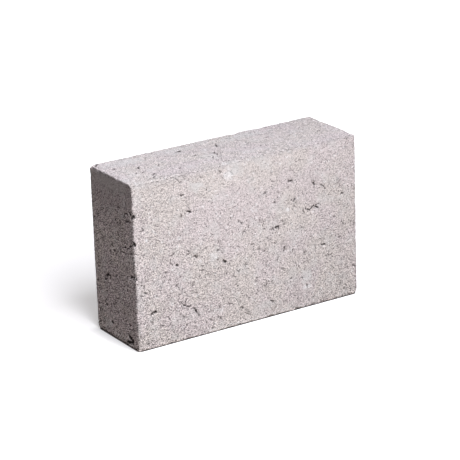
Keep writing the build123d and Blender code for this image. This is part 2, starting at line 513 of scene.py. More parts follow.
@dataclass(frozen=True)
class WeatheringAndPaintedLight:
    """Where the skin is limed or smooth, where it is coarse, and where light and shade are painted into its
    colour.
    """

    patch_rag: float = 0.8
    patch_rag_size: float = 4.5 * MM
    patch_reach: float = 1.3
    patch_edge: float = 1.6
    front_high: float = 0.85
    front_low: float = 1.50
    front_left: float = 0.60
    front_right: float = 0.35
    left_end_high: float = 1.35
    left_end_low: float = 3.9
    left_end_fall: float = 60 * MM
    top: float = 1.55
    elsewhere: float = 1.3
    # The tones below paint light and shade into the skin's colour: darker high on the left end and round its
    # arrises, darker towards the right of the front, lighter at its foot, darker along the front's top arris
    # to hold its highlight down, and lighter on the broken corner.
    left_end_high_tone: float = 0.69
    left_end_tone: float = 0.99
    left_end_tone_fall: float = 75 * MM
    left_end_rim_tone: float = 0.80
    left_end_rim: float = 2.6 * MM
    front_right_tone: float = 0.925
    front_right_start: float = 0.4
    front_high_tone: float = 0.955
    front_foot_tone: float = 1.42
    front_foot: float = 3.0 * MM
    front_left_tone: float = 1.05
    front_left_reach: float = 16 * MM
    top_left_tone: float = 1.08
    top_right_tone: float = 1.02
    arris_highlight_shade: float = 0.80
    arris_shade_reach_left: float = 8.0 * MM
    arris_shade_reach_right: float = 2.5 * MM
    lit_corner_tone: float = 1.5
    lit_corner_reach: float = 10.0 * MM
    lit_corner_edge: float = 1.6

    def bloom_at(self, bloom: Bloom, side: Side, point: Vector) -> float:
        """Works out how much of a kind of patch lies on a place.

        Args:
            bloom: the kind of patch.
            side: the side that the place is on.
            point: the place on the box.

        Returns:
            0 for plain concrete to 1 in the middle of a patch.
        """
        first, second = (point[axis] / MM for axis in side.in_plane)
        cover = 0.0
        for across, up, half_across, half_up, strength in PATCHES.get((bloom, side), ()):
            away = math.hypot((first - across) / half_across, (second - up) / half_up)
            ragged = self.patch_rag * noise.noise(point / self.patch_rag_size)
            cover = max(cover, strength * smooth_step((self.patch_reach + ragged - away) * self.patch_edge))
        return cover

    def coarse_at(self, box: Box, side: Side, point: Vector) -> float:
        """Works out how coarse the skin is.

        Args:
            box: the box of the solid.
            side: the side that the place is on.
            point: the place on the box.

        Returns:
            A factor near 1, higher low on the front, towards its ends and on the left end itself.
        """
        if side is Side.FRONT:
            height = (point.z - box.low.z) / (box.high.z - box.low.z)
            run = (point.x - box.low.x) / (box.high.x - box.low.x)
            coarse = mixed(self.front_low, self.front_high, height)
            return coarse + self.front_left * (1 - run) ** 3 + self.front_right * run**3
        if side is Side.LEFT:
            fall = smooth_step((box.high.z - point.z) / self.left_end_fall)
            return mixed(self.left_end_high, self.left_end_low, fall)
        return self.top if side is Side.TOP else self.elsewhere

    def painted_light_at(self, box: Box, side: Side, point: Vector) -> float:
        """Works out a factor on the skin's colour by place, mostly painted light and shade.

        Args:
            box: the box of the solid.
            side: the side that the place is on.
            point: the place on the box.

        Returns:
            A factor on the skin's colour: painted shade below 1 high on the left end and round its arrises,
            towards the right of the front and along the front's top arris, where it holds the highlight down;
            painted light above 1 at the foot of the front and on the broken corner; the top a little lighter
            towards the left.
        """
        run = (point.x - box.low.x) / (box.high.x - box.low.x)
        # Painted light on the facet of the broken corner at the top of the left end, at the back.
        away = point - Vector((box.low.x, box.high.y, box.high.z))
        edge = self.lit_corner_edge
        pale = smooth_step(edge - edge * math.hypot(away.x, away.y, 2 * away.z) / self.lit_corner_reach)
        tone = 1.0
        if side is Side.LEFT:
            fall = smooth_step((box.high.z - point.z) / self.left_end_tone_fall)
            tone = mixed(self.left_end_high_tone, self.left_end_tone, fall)
            rim = nearness(box.arris_distance(point), self.left_end_rim)
            tone *= mixed(1.0, self.left_end_rim_tone, rim)
        elif side is Side.FRONT:
            right = smooth_step((run - self.front_right_start) / (1.0 - self.front_right_start))
            tone = mixed(1.0, self.front_right_tone, right)
            high = smooth_step(2.0 * (point.z - box.low.z) / (box.high.z - box.low.z) - 1.0)
            tone *= mixed(1.0, self.front_high_tone, high * (1 - run))
            left = smooth_step(1.0 - (point.x - box.low.x) / self.front_left_reach)
            tone *= mixed(1.0, self.front_left_tone, left)
            foot = nearness(point.z - box.low.z, self.front_foot)
            tone *= mixed(1.0, self.front_foot_tone, foot)
        elif side is Side.TOP:
            tone = mixed(self.top_left_tone, self.top_right_tone, run)
        # Painted shade along the front's top arris, which holds its highlight down.
        reach = mixed(self.arris_shade_reach_left, self.arris_shade_reach_right, run)
        away = math.hypot(point.y - box.low.y, box.high.z - point.z)
        if side in (Side.FRONT, Side.TOP):
            tone *= mixed(1.0, self.arris_highlight_shade, nearness(away, reach))
        return mixed(tone, self.lit_corner_tone, pale)


@dataclass(frozen=True)
class Relief:
    """How deep each form of roughness goes into the block, and how wide it is."""

    skin: float = 0.18 * MM
    wave_size: float = 48 * MM
    wave_depth: float = 0.16 * MM
    lump_size: float = 7.5 * MM
    lump_depth: float = 0.04 * MM
    grain_size: float = 2.3 * MM
    grain_depth: float = 0.02 * MM
    rag_reach: float = 2.4 * MM
    rag_size: float = 2.1 * MM
    rag_depth: float = 1.1 * MM
    chip_reach: float = 4.2 * MM
    chip_size: float = 8.0 * MM
    chip_depth: float = 2.3 * MM
    chip_threshold: float = 0.22

    def depth_at(self, point: Vector, arris: float) -> float:
        """Works out how far the rough surface lies inside the solid's own.

        Args:
            point: the place on the surface.
            arris: its distance from the nearest arris.

        Returns:
            The depth, never below nothing.
        """
        depth = self.skin
        depth += self.wave_depth * noise.noise(point / self.wave_size)
        depth += self.lump_depth * noise.noise(point / self.lump_size + Vector((3.1, 0.0, 0.0)))
        depth += self.grain_depth * noise.noise(point / self.grain_size + Vector((0.0, 7.7, 0.0)))
        if arris < self.chip_reach:
            near = smooth_step(1.0 - arris / self.rag_reach)
            rag = 0.2 + noise.noise(point / self.rag_size + Vector((0.0, 0.0, 5.3)))
            depth += near * self.rag_depth * max(0.0, rag)
            near = smooth_step(1.0 - arris / self.chip_reach)
            chip = noise.noise(point / self.chip_size + Vector((9.4, 2.2, 0.0))) - self.chip_threshold
            depth += near * self.chip_depth * max(0.0, chip)
        return max(0.0, depth)


@dataclass(frozen=True)
class Panel:
    """Where a side lies in the block's flat layout, in millimetres, and whether it is turned."""

    across: float
    up: float
    turned: bool = False


def vertex_tree(mesh: bmesh.types.BMesh) -> kdtree.KDTree:
    """Returns the search tree of a mesh's vertices, and readies them for look-up by number."""
    mesh.verts.ensure_lookup_table()
    search = kdtree.KDTree(len(mesh.verts))
    for index, vertex in enumerate(mesh.verts):
        search.insert(vertex.co, index)
    search.balance()
    return search


@dataclass
class BlockShell:
    """The visible shell of the block."""

    box: Box
    finish: "ConcreteFinish"
    step: float = 2.0 * MM
    arris_band: float = 3.0 * MM
    hollow_margin: float = 1.6 * MM
    mark_margin: float = 0.55 * MM
    mark_soft: float = 0.3 * MM
    crowd_reach: float = 3.5 * MM
    flat_start: float = 4.5 * MM
    probe: float = 12 * MM
    deep: float = 1.4 * MM
    least_sunk: float = 0.1 * MM
    pit_depth: float = 1.3
    sheet_size: float = 492.0
    relief: Relief = field(default_factory=Relief)
    weathering_and_light: WeatheringAndPaintedLight = field(default_factory=WeatheringAndPaintedLight)
    panels: dict[Side, Panel] = field(
        default_factory=lambda: {
            Side.FRONT: Panel(2, 2),
            Side.BACK: Panel(2, 198),
            Side.TOP: Panel(298, 2, True),
            Side.BASE: Panel(394, 2, True),
            Side.LEFT: Panel(298, 298, True),
            Side.RIGHT: Panel(2, 396, True),
        }
    )

    def grid(self) -> bmesh.types.BMesh:
        """Makes the box and divides it evenly along each axis.

        Returns:
            The divided box, with each vertex's distance from an arris in its own layer.
        """
        mesh = bmesh.new()
        span = self.box.high - self.box.low
        bmesh.ops.create_cube(mesh, size=1.0)
        bmesh.ops.scale(mesh, vec=span, verts=mesh.verts)
        bmesh.ops.translate(mesh, vec=(self.box.high + self.box.low) / 2, verts=mesh.verts)
        for axis in range(3):
            along = [e for e in mesh.edges if abs(e.verts[0].co[axis] - e.verts[1].co[axis]) > self.step]
            cuts = round(span[axis] / self.step) - 1
            bmesh.ops.subdivide_edges(mesh, edges=along, cuts=cuts, use_grid_fill=True)
        return mesh

    def refine(self, mesh: bmesh.types.BMesh, near: set[bmesh.types.BMVert]) -> None:
        """Halves the grid between the given vertices.

        Args:
            mesh: the mesh to refine.
            near: the vertices whose shared edges are cut.
        """
        edges = [e for e in mesh.edges if e.verts[0] in near and e.verts[1] in near]
        bmesh.ops.subdivide_edges(mesh, edges=edges, cuts=1, use_grid_fill=True, use_single_edge=True)

    def solid_tree(self) -> BVHTree:
        """Returns the search tree of the solid's own surface."""
        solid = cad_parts[NODE]
        corners = [vertex.co for vertex in solid.data.vertices]
        return BVHTree.FromPolygons(corners, [list(face.vertices) for face in solid.data.polygons])

    def side_of(self, point: Vector) -> Side:
        """Returns the side of the box that a surface point lies nearest to."""
        return min(
            Side,
            key=lambda s: abs(point[s.axis] - (self.box.high if s.way > 0 else self.box.low)[s.axis]),
        )

    def settled(self, tree: BVHTree, point: Vector) -> Vector:
        """Finds where a point of the box lies on the solid.

        Args:
            tree: the search tree of the solid.
            point: the point on the box.

        Returns:
            The point below it on flat stretches, and the nearest one around the arrises.
        """
        if self.box.arris_distance(point) > self.flat_start:
            outward = self.side_of(point).outward
            hit = tree.ray_cast(point + outward * MM, -outward, self.probe)[0]
            if hit is not None:
                return hit
        return tree.find_nearest(point)[0]

    def beside(self, mesh: bmesh.types.BMesh, beads: list[Bead], margin: float) -> set[bmesh.types.BMVert]:
        """Finds the vertices that lie on or beside a mark.

        Args:
            mesh: the divided box.
            beads: the beads of the marks.
            margin: how far beside a mark counts.

        Returns:
            The vertices.
        """
        search = vertex_tree(mesh)
        near = set()
        for bead in beads:
            found = search.find_range(bead.centre, bead.half_width + margin)
            near.update(mesh.verts[index] for _, index, _ in found)
        return near

    def hollow_vertices(self, mesh: bmesh.types.BMesh, tree: BVHTree) -> set[bmesh.types.BMVert]:
        """Finds the vertices that lie on or beside the solid's own hollows.

        Args:
            mesh: the evenly divided box.
            tree: the search tree of the solid.

        Returns:
            The vertices.
        """
        search = vertex_tree(mesh)
        near = set()
        for vertex in mesh.verts:
            if self.box.arris_distance(vertex.co) > self.flat_start:
                sunk = (self.settled(tree, vertex.co) - vertex.co).length
                if sunk > self.least_sunk:
                    found = search.find_range(vertex.co, self.step + self.hollow_margin)
                    near.update(mesh.verts[index] for _, index, _ in found)
        return near

    def lay_out(self, mesh: bmesh.types.BMesh) -> None:
        """Lays the six sides out flat, side by side, in the UV map.

        Args:
            mesh: the divided box, before it is settled on the solid.
        """
        layer = mesh.loops.layers.uv.new("OFBake")
        for face in mesh.faces:
            side = self.side_of(face.calc_center_median())
            first, second = side.in_plane
            panel = self.panels[side]
            for loop in face.loops:
                across = (loop.vert.co[first] - self.box.low[first]) / MM
                up = (loop.vert.co[second] - self.box.low[second]) / MM
                if panel.turned:
                    across, up = up, across
                spot = (panel.across + across, panel.up + up)
                loop[layer].uv = [value / self.sheet_size for value in spot]

    def settle(self, mesh: bmesh.types.BMesh, tree: BVHTree) -> None:
        """Lays every vertex on the solid and writes down how near an arris it is and how deep it sank.

        Args:
            mesh: the divided box.
            tree: the search tree of the solid.
        """
        names = ("arris", "hollow", "coarse", "lime", "smooth", "tone")
        for name in names:
            mesh.verts.layers.float.new(name)
        arris, hollow, coarse, lime, smooth, tone = (mesh.verts.layers.float[name] for name in names)
        for vertex in mesh.verts:
            side = self.side_of(vertex.co)
            vertex[arris] = self.box.arris_distance(vertex.co)
            vertex[coarse] = self.weathering_and_light.coarse_at(self.box, side, vertex.co)
            vertex[lime] = self.weathering_and_light.bloom_at(Bloom.LIME, side, vertex.co)
            vertex[smooth] = self.weathering_and_light.bloom_at(Bloom.SMOOTH, side, vertex.co)
            # The tone layer carries painted light and shade.
            vertex[tone] = self.weathering_and_light.painted_light_at(self.box, side, vertex.co)
            place = self.settled(tree, vertex.co)
            if vertex[arris] > self.flat_start:
                vertex[hollow] = min(1.0, (place - vertex.co).length / self.deep)
            vertex.co = place

    def mark(self, mesh: bmesh.types.BMesh, beads: list[Bead]) -> None:
        """Writes down how dark the marks' painted shade makes each vertex, how deep they press it, and how
        thick they lie around it.

        Args:
            mesh: the divided box, before it is settled on the solid.
            beads: the beads of the marks.
        """
        dark = mesh.verts.layers.float.new("dark")
        pit = mesh.verts.layers.float.new("pit")
        crowd = mesh.verts.layers.float.new("crowd")
        search = kdtree.KDTree(len(beads))
        for index, bead in enumerate(beads):
            search.insert(bead.centre, index)
        search.balance()
        widest = max(bead.half_width for bead in beads)
        for vertex in mesh.verts:
            _, index, distance = search.find(vertex.co)
            vertex[crowd] = beads[index].dark * math.exp(-((distance / self.crowd_reach) ** 2))
            for _, index, distance in search.find_range(vertex.co, widest + self.mark_soft):
                bead = beads[index]
                inside = (bead.half_width + self.mark_soft / 2 - distance) / self.mark_soft
                vertex[dark] = max(vertex[dark], bead.dark * smooth_step(inside))
                bowl = math.sqrt(max(0.0, 1.0 - (distance / bead.half_width) ** 2))
                vertex[pit] = max(vertex[pit], self.pit_depth * bead.dark * bead.half_width * bowl)

    def roughen(self, mesh: bmesh.types.BMesh) -> None:
        """Presses the roughness and the marks into the surface.

        Args:
            mesh: the mesh, settled on the solid.
        """
        mesh.normal_update()
        arris = mesh.verts.layers.float["arris"]
        pit = mesh.verts.layers.float["pit"]
        depths = [self.relief.depth_at(vertex.co, vertex[arris]) for vertex in mesh.verts]
        for vertex, depth in zip(mesh.verts, depths):
            inside = vertex.co - vertex.normal * (depth + vertex[pit])
            vertex.co = [min(max(inside[i], self.box.low[i]), self.box.high[i]) for i in range(3)]

    def build(self) -> bpy.types.Object:
        """Makes the shell and dresses it.

        Returns:
            The object that stands for the solid.
        """
        tree = self.solid_tree()
        beads = MarkField(self.box).beads()
        mesh = self.grid()
        log.info("grid of %d vertices, %d beads of marks", len(mesh.verts), len(beads))
        near = {v for v in mesh.verts if self.box.arris_distance(v.co) < self.arris_band}
        near |= self.hollow_vertices(mesh, tree) | self.beside(mesh, beads, self.hollow_margin)
        self.refine(mesh, near)
        self.refine(mesh, self.beside(mesh, beads, self.mark_margin))
        bmesh.ops.triangulate(mesh, faces=[face for face in mesh.faces if len(face.verts) > 4])
        self.lay_out(mesh)
        self.mark(mesh, beads)
        self.settle(mesh, tree)
        self.roughen(mesh)
        bmesh.ops.recalc_face_normals(mesh, faces=mesh.faces)
        for face in mesh.faces:
            face.smooth = True
        data = bpy.data.meshes.new("block_shell")
        mesh.to_mesh(data)
        mesh.free()
        shell = bpy.data.objects.new("block_shell", data)
        bpy.context.scene.collection.objects.link(shell)
        data.materials.append(self.finish.build())
        triangles = sum(len(face.vertices) - 2 for face in data.polygons)
        log.info("%s: %d triangles", shell.name, triangles)
        return shell


class Graph:
    """A node tree with short calls to add and join its nodes."""

    def __init__(self, tree: bpy.types.NodeTree) -> None:
        """Keeps the tree and empties it."""
        self.tree = tree
        tree.nodes.clear()

    def add(self, kind: str, settings: dict | None = None, **inputs: object) -> bpy.types.Node:
        """Adds a node.

        Args:
            kind: the node's type name.
            settings: the node's own properties.
            inputs: socket names, with _ for a blank, or _ and a number, and what goes in: a value or another
                node's output.

        Returns:
            The node.
        """
        node = self.tree.nodes.new(kind)
        for name, value in (settings or {}).items():
            setattr(node, name, value)
        for name, value in inputs.items():
            key = int(name[1:]) if name[1:].isdigit() else name.replace("_", " ")
            self.feed(node.inputs[key], value)
        return node

    def feed(self, socket: bpy.types.NodeSocket, value: object) -> None:
        """Joins an output to a socket, or sets the socket's own value."""
        if isinstance(value, bpy.types.NodeSocket):
            self.tree.links.new(value, socket)
        else:
            socket.default_value = value

    def math(
        self, operation: str, first: object, second: object = 0.0, third: object = 0.0
    ) -> bpy.types.NodeSocket:
        """Adds a Math node.

        Args:
            operation: the operation's name.
            first: its first number or output.
            second: its second number or output.
            third: its third number or output.

        Returns:
            The result's output.
        """
        node = self.add("ShaderNodeMath", {"operation": operation}, _0=first, _1=second, _2=third)
        return node.outputs[0]

    def vector(self, operation: str, first: object, second: object) -> bpy.types.NodeSocket:
        """Adds a Vector Math node of two vectors.

        Args:
            operation: the operation's name.
            first: its first vector or output.
            second: its second vector or output.

        Returns:
            The result's output.
        """
        node = self.add("ShaderNodeVectorMath", {"operation": operation}, _0=first, _1=second)
        return node.outputs[0]

    def scaled(self, vector: object, factor: object) -> bpy.types.NodeSocket:
        """Returns the output of a vector or colour times a factor."""
        return self.add("ShaderNodeVectorMath", {"operation": "SCALE"}, _0=vector, Scale=factor).outputs[0]

    def noise(self, place: object, scale: object, detail: float) -> bpy.types.Node:
        """Returns a Noise Texture node at a place."""
        return self.add("ShaderNodeTexNoise", Vector=place, Scale=scale, Detail=detail)

    def warped(self, place: object, scale: object, detail: float, reach: float) -> bpy.types.NodeSocket:
        """Returns the output of a place that noise shifts by up to a reach along each axis."""
        shift = self.vector("MULTIPLY", self.noise(place, scale, detail).outputs["Color"], (reach,) * 3)
        return self.vector("ADD", place, shift)

    def channels(self, output: object) -> list[bpy.types.NodeSocket]:
        """Returns the outputs of a colour's red, green and blue."""
        return list(self.add("ShaderNodeSeparateColor", _0=output).outputs)

    def coordinates(self, vector: object) -> list[bpy.types.NodeSocket]:
        """Returns the outputs of a vector's X, Y and Z."""
        return list(self.add("ShaderNodeSeparateXYZ", _0=vector).outputs)

    def spread(
        self, value: object, low: float, high: float, to_low: float, to_high: float
    ) -> bpy.types.NodeSocket:
        """Maps a range of numbers to another with a smooth step.

        Args:
            value: the output to map.
            low: where the step starts.
            high: where the step ends.
            to_low: what it gives at the start.
            to_high: what it gives at the end.

        Returns:
            The mapped output.
        """
        node = self.add(
            "ShaderNodeMapRange",
            {"interpolation_type": "SMOOTHSTEP"},
            Value=value,
            From_Min=low,
            From_Max=high,
            To_Min=to_low,
            To_Max=to_high,
        )
        return node.outputs["Result"]

    def blend(self, factor: object, first: object, second: object) -> bpy.types.NodeSocket:
        """Blends two colours.

        Args:
            factor: how much of the second colour.
            first: the colour underneath.
            second: the colour on top.

        Returns:
            The blended colour's output.
        """
        return self.add("ShaderNodeMix", {"data_type": "RGBA"}, _0=factor, _6=first, _7=second).outputs[2]


def colour(red: float, green: float, blue: float) -> tuple[float, float, float, float]:
    """Returns a linear colour with full alpha."""
    return (red, green, blue, 1.0)


@dataclass(frozen=True)
class EffectGroup:
    """An effect as a node group: its name, and its number sockets after Coordinates."""

    name: str
    inputs: tuple[str, ...]
    outputs: tuple[str, ...]

    def open(self) -> tuple[Graph, list[bpy.types.NodeSocket]]:
        """Makes the group with its sockets.

        Returns:
            The group's graph, and the outputs that carry the coordinates and the inputs into it.
        """
        tree = bpy.data.node_groups.new(self.name, "ShaderNodeTree")
        tree.interface.new_socket("Coordinates", in_out="INPUT", socket_type="NodeSocketVector")
        for name in self.inputs:
            tree.interface.new_socket(name, in_out="INPUT", socket_type="NodeSocketFloat")
        for name in self.outputs:
            tree.interface.new_socket(name, in_out="OUTPUT", socket_type="NodeSocketFloat")
        graph = Graph(tree)
        carried = graph.add("NodeGroupInput").outputs
        return graph, [carried[index] for index in range(len(self.inputs) + 1)]

    def close(self, graph: Graph, *results: bpy.types.NodeSocket) -> bpy.types.NodeTree:
        """Joins the results to the group's outputs, in their order, and returns the group."""
        outlet = graph.add("NodeGroupOutput")
        for name, result in zip(self.outputs, results):
            graph.feed(outlet.inputs[name], result)
        return graph.tree


@dataclass(frozen=True)
class GrainGroup(EffectGroup):
    """The node group of packed grains: a dome and a tone for each one."""

    name: str = "packed_grains"
    inputs: tuple[str, ...] = ("Grains per Metre",)
    outputs: tuple[str, ...] = ("Dome", "Tone")
    warp_scale: float = 1.3
    warp: float = 0.8 * MM
    top: float = 0.12
    foot: float = 0.85

    def build(self) -> bpy.types.NodeTree:
        """Makes the group once.

        Returns:
            The group, with Dome from 0 between grains to 1 on top, and each grain's own Tone from 0 to 1.
        """
        graph, (place, density) = self.open()
        moved = graph.warped(place, graph.math("MULTIPLY", density, self.warp_scale), 1.0, self.warp)
        cells = graph.add("ShaderNodeTexVoronoi", Vector=moved, Scale=density)
        dome = graph.spread(cells.outputs["Distance"], self.top, self.foot, 1.0, 0.0)
        return self.close(graph, dome, graph.channels(cells.outputs["Color"])[0])


@dataclass(frozen=True)
class PoreGroup(EffectGroup):
    """The node group of open pores: small round holes, thicker where their share is higher."""

    name: str = "open_pores"
    inputs: tuple[str, ...] = ("Cells per Metre", "Share")
    outputs: tuple[str, ...] = ("Pore", "Rim")
    least_reach: float = 0.22
    more_reach: float = 0.25
    wall: float = 0.2
    rim: float = 0.22

    def build(self) -> bpy.types.NodeTree:
        """Makes the group once.

        Returns:
            The group, whose Pore is 1 in the middle of a pore and 0 outside, and whose Rim is 1 around it.
        """
        graph, (place, density, share) = self.open()
        cells = graph.add("ShaderNodeTexVoronoi", Vector=place, Scale=density)
        pick, size, *_ = graph.channels(cells.outputs["Color"])
        chosen = graph.math("LESS_THAN", pick, share)
        reach = graph.math("MULTIPLY_ADD", size, self.more_reach, self.least_reach)
        within = graph.math("SUBTRACT", reach, cells.outputs["Distance"])
        bowl = graph.spread(within, 0.0, self.wall, 0.0, 1.0)
        rim = graph.math("SUBTRACT", graph.spread(within, -self.rim, 0.0, 0.0, 1.0), bowl)
        return self.close(graph, graph.math("MULTIPLY", bowl, chosen), graph.math("MULTIPLY", rim, chosen))


@dataclass(frozen=True)
class StoneGroup(EffectGroup):
    """The node group of the gaps that open here and there along the edges of stones, which the finish paints
    dark with their shade.
    """

    name: str = "stone_gaps"
    inputs: tuple[str, ...] = ("Stones per Metre", "Half Width", "Share")
    outputs: tuple[str, ...] = ("Gap",)
    warp_scale: float = 2.4
    warp: float = 3.4 * MM
    spot_scale: float = 1.15
    closed: float = 0.72
    opening: float = 0.12
    edge: float = 0.03

    def build(self) -> bpy.types.NodeTree:
        """Makes the group once.

        Returns:
            The group, whose Gap is 1 in a gap and 0 outside.
        """
        graph, (place, density, half_width, share) = self.open()
        moved = graph.warped(place, graph.math("MULTIPLY", density, self.warp_scale), 2.0, self.warp)
        cells = graph.add(
            "ShaderNodeTexVoronoi", {"feature": "DISTANCE_TO_EDGE"}, Vector=moved, Scale=density
        )
        spots = graph.noise(place, graph.math("MULTIPLY", density, self.spot_scale), 2.0)
        closed = graph.math("SUBTRACT", self.closed, share)
        opened = graph.math("SUBTRACT", spots.outputs["Fac"], closed)
        half = graph.math("MULTIPLY", half_width, graph.spread(opened, 0.0, self.opening, 0.0, 1.0))
        inside = graph.math("SUBTRACT", half, cells.outputs["Distance"])
        return self.close(graph, graph.spread(inside, 0.0, self.edge, 0.0, 1.0))


@dataclass(frozen=True)
class ConcreteFinish:
    """Dense pressed concrete: pale grey with a pink cast, sandy, with pale lime and with open pores painted
    dark with their shade.
    """

    name: str = "pressed_concrete"
    pink: tuple = colour(0.655, 0.596, 0.602)
    warm: tuple = colour(0.655, 0.607, 0.590)
    cool: tuple = colour(0.622, 0.614, 0.612)
    # Near-black painted shade for the pores, the gaps, the marks, the hollows and the foot.
    pit: tuple = colour(0.036, 0.031, 0.030)
    lime: tuple = colour(0.84, 0.845, 0.86)
    sand_per_metre: float = 980.0
    grit_per_metre: float = 430.0
    fine_pores_per_metre: float = 760.0
    wide_pores_per_metre: float = 540.0
    stones_per_metre: float = 115.0
    gap_half_width: float = 0.055
    drift_per_metre: float = 26.0
    blotch_per_metre: float = 95.0
    smooth_per_metre: float = 62.0
    smooth_calm: float = 0.55
    sand_contrast: float = 0.53
    seam_contrast: float = 0.50
    rim_contrast: float = 0.18
    crowd_rim: float = 0.22
    # Darker along every arris: partly wear, partly painted shade that holds the arrises' highlight down.
    arris_wear_and_shade_band: float = 3 * MM
    arris_wear_and_shade: float = 0.84
    open_share: tuple[float, float] = (0.13, 0.22)
    wide_share: float = 0.09
    gap_share: float = 0.13
    fine_crowd: float = 0.27
    wide_crowd: float = 0.06
    gap_crowd: float = 0.05
    fine_pore_shade: float = 1.3
    gap_shade: float = 0.85
    deepest_shade: float = 0.95
    speck: float = 0.4
    cool_share: float = 0.8
    pale_share: float = 0.04
    lime_calm: float = 0.8
    roughness: float = 0.93
    specular: float = 0.25
    bump_height: float = 0.75 * MM
    rises: tuple[float, ...] = (0.34, 0.1, -0.55, -1.0, -0.9)
    # Painted contact shadow along the foot: how high it reaches and how dark it is.
    contact_shade_height: float = 0.9 * MM
    contact_shade_dark: float = 0.2

    def skin(
        self, graph: Graph, place: object, drift: bpy.types.Node, smooth: object, lime: object
    ) -> bpy.types.NodeSocket:
        """Mixes the colour of the skin, before its grain and its pores.

        Args:
            graph: the material's graph.
            place: the coordinates.
            drift: the slow noise of the mix.
            smooth: where the skin is smooth and greyer.
            lime: how much lime lies on the skin.

        Returns:
            The colour's output.
        """
        blotch = graph.noise(place, self.blotch_per_metre, 4.0).outputs["Fac"]
        tint = graph.channels(drift.outputs["Color"])[1]
        base = graph.blend(graph.spread(tint, 0.4, 0.62, 0.0, 1.0), self.pink, self.warm)
        base = graph.blend(graph.math("MULTIPLY", smooth, self.cool_share), base, self.cool)
        pale = graph.spread(blotch, 0.62, 0.80, 0.0, self.pale_share)
        dusty = graph.math("MULTIPLY", lime, graph.spread(blotch, 0.34, 0.56, 0.5, 1.0))
        return graph.blend(graph.math("MAXIMUM", pale, dusty), base, self.lime)

    def openings(self, graph: Graph, place: object, share: object, crowd: object) -> list[bpy.types.Node]:
        """Adds the fine pores, the wide pores and the gaps between stones.

        Args:
            graph: the material's graph.
            place: the coordinates.
            share: how much of the skin is open.
            crowd: how near and how dark the next mark is.

        Returns:
            The three groups' nodes.
        """
        pores = PoreGroup().build()
        gaps = StoneGroup().build()
        rows = (
            (pores, self.fine_pores_per_metre, self.fine_crowd, 1.0),
            (pores, self.wide_pores_per_metre, self.wide_crowd, self.wide_share),
            (gaps, self.stones_per_metre, self.gap_crowd, self.gap_share),
        )
        nodes = []
        for group, density, by_crowd, part in rows:
            node = graph.add("ShaderNodeGroup", {"node_tree": group}, Coordinates=place, _1=density)
            ready = graph.math("MULTIPLY", share, part)
            graph.feed(node.inputs["Share"], graph.math("MULTIPLY_ADD", crowd, by_crowd, ready))
            nodes.append(node)
        nodes[-1].inputs["Half Width"].default_value = self.gap_half_width
        return nodes

    def build(self) -> bpy.types.Material:
        """Makes the material.

        Returns:
            The concrete, which reads the shell's object coordinates and its own layers.
        """
        material = bpy.data.materials.new(self.name)
        material.use_nodes = True
        graph = Graph(material.node_tree)
        place = graph.add("ShaderNodeTexCoord").outputs["Object"]
        hollow, arris, coarse, crowd, lime, patch, painted_light_tone, mark = (
            graph.add("ShaderNodeAttribute", {"attribute_name": name}).outputs["Fac"]
            for name in ("hollow", "arris", "coarse", "crowd", "lime", "smooth", "tone", "dark")
        )
        grains = GrainGroup().build()
        sand, grit = (
            graph.add("ShaderNodeGroup", {"node_tree": grains}, Coordinates=place, Grains_per_Metre=density)
            for density in (self.sand_per_metre, self.grit_per_metre)
        )
        drift = graph.noise(place, self.drift_per_metre, 3.0)
        share = graph.spread(drift.outputs["Fac"], 0.35, 0.7, *self.open_share)
        share = graph.math("MULTIPLY", coarse, share)
        fine, wide, gaps = self.openings(graph, place, share, crowd)
        plain = graph.noise(place, self.smooth_per_metre, 3.0).outputs["Fac"]
        smooth = graph.math("MAXIMUM", patch, graph.spread(plain, 0.50, 0.66, 0.0, 0.5))
        base = self.skin(graph, place, drift, smooth, lime)
        speck = graph.spread(grit.outputs["Tone"], 0.95, 0.98, 0.0, self.speck)
        base = graph.blend(speck, base, self.lime)
        calm = graph.math("MULTIPLY", smooth, self.smooth_calm)
        calm = graph.math("MAXIMUM", calm, graph.math("MULTIPLY", lime, self.lime_calm))
        rough = graph.math("MULTIPLY", coarse, graph.math("SUBTRACT", 1.0, calm))

        skewed = graph.math("POWER", sand.outputs["Tone"], 0.5)
        tone = graph.math("MULTIPLY", graph.math("SUBTRACT", skewed, 0.667), self.sand_contrast)
        seam = graph.math("SUBTRACT", sand.outputs["Dome"], 0.7)
        tone = graph.math("MULTIPLY_ADD", seam, self.seam_contrast, tone)
        lip = graph.math("MULTIPLY_ADD", crowd, self.crowd_rim, self.rim_contrast)
        tone = graph.math("MULTIPLY_ADD", fine.outputs["Rim"], lip, tone)
        tone = graph.math("MULTIPLY_ADD", tone, rough, 1.0)
        # Arris band: partly wear, partly painted shade against the highlight.
        tone = graph.math("MULTIPLY", tone, graph.spread(arris, 0.0, self.arris_wear_and_shade_band, self.arris_wear_and_shade, 1.0))
        # Painted light and shade from the tone layer.
        tone = graph.math("MULTIPLY", tone, painted_light_tone)

        # Painted shade in the pores, the gaps between stones, the marks, the hollows and along the foot, all
        # towards the pit colour.
        dark = graph.math("MULTIPLY", fine.outputs["Pore"], graph.math("MULTIPLY", rough, self.fine_pore_shade))
        gap = graph.math("MULTIPLY", gaps.outputs["Gap"], self.gap_shade)
        # Painted shade in the solid's own hollows: the deeper a place sank, the darker.
        ragged = graph.math("SUBTRACT", sand.outputs["Dome"], 0.5)
        ragged = graph.math("MULTIPLY_ADD", ragged, -0.3, hollow)
        sunk = graph.spread(ragged, 0.6, 1.0, 0.0, 0.5)
        # Painted shadow along the foot: the skin darkens within a millimetre of the floor.
        level = graph.coordinates(place)[2]
        foot = graph.spread(level, self.contact_shade_height, 0.2 * self.contact_shade_height, 0.0, self.contact_shade_dark)
        for other in (wide.outputs["Pore"], gap, sunk, mark, foot):
            dark = graph.math("MAXIMUM", dark, other)
        shaded = graph.blend(graph.math("MULTIPLY", dark, self.deepest_shade), graph.scaled(base, tone), self.pit)

